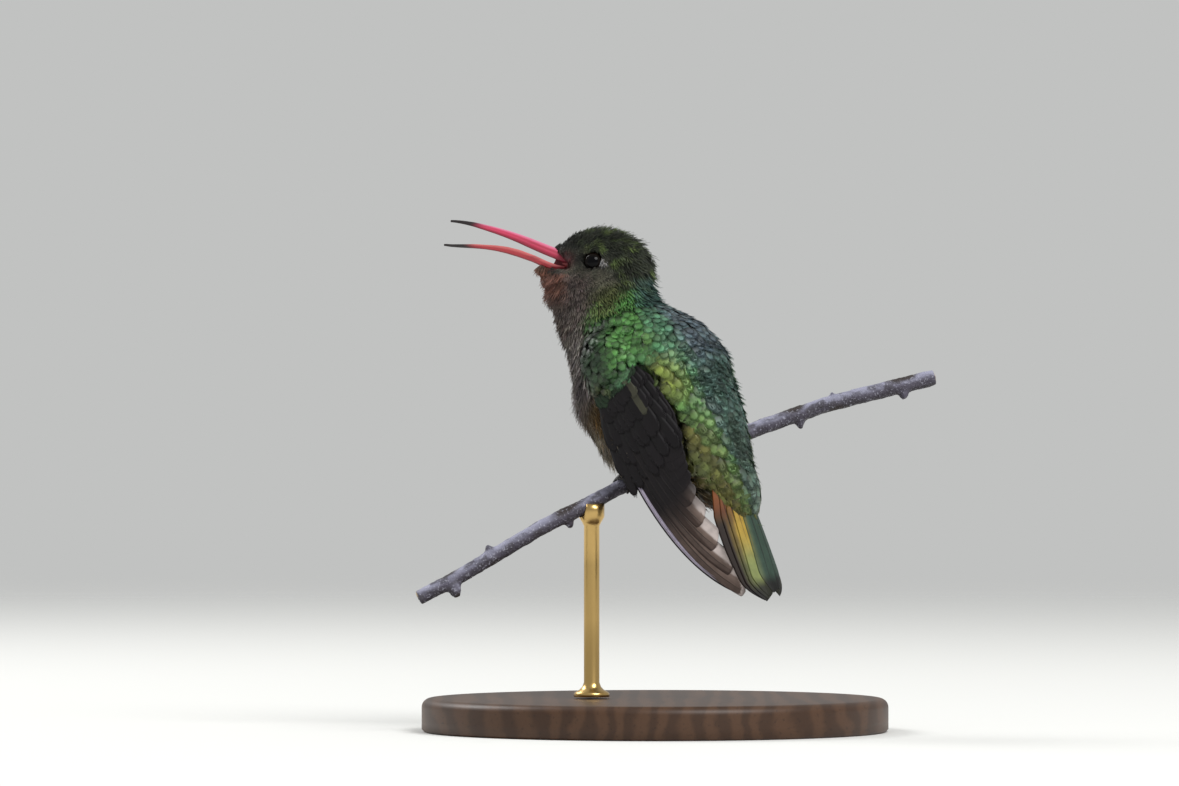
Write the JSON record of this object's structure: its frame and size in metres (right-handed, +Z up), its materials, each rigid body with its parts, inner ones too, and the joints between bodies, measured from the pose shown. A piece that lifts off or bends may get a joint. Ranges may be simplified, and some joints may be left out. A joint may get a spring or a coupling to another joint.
{
  "type": "perched gilded hummingbird model",
  "caption": "Still life-size hummingbird with an open bill, perched on a short cut twig that one rod holds up from a round flat base.",
  "frame": {"origin": "centre of the round base's underside", "axes": "+Z up; seen along +Y the bird faces -X; the base's underside faces -Z"},
  "size_m": [0.0951, 0.084, 0.0922],
  "materials": {
    "plumage": "iridescent green body feathers, bronze to grey below, rufous chin",
    "wing_coverts": "glossy bright green small feathers",
    "flight_feathers": "dusky purplish-brown satin feathers",
    "tail_feathers": "golden-green metallic feathers",
    "bill": "satin coral-red horn with black tips",
    "eye": "wet black",
    "feet": "black scaly skin",
    "bark": "grey-lilac bark",
    "stand_metal": "brushed brass",
    "stand_wood": "dark waxed wood"
  },
  "bodies": {
    "root": {"head": "plumage", "neck": "plumage", "trunk": "plumage", "bill_upper": "bill", "bill_lower": "bill", "eye_left": "eye", "eye_right": "eye", "wing_left": "wing_coverts", "wing_right": "wing_coverts", "wing_feathers_left": "flight_feathers", "wing_feathers_right": "flight_feathers", "tail": "tail_feathers", "leg_left": "feet", "leg_right": "feet", "foot_left": "feet", "foot_right": "feet", "perch": "bark", "stand_rod": "stand_metal", "stand_base": "stand_wood"}
  },
  "joints": []
}
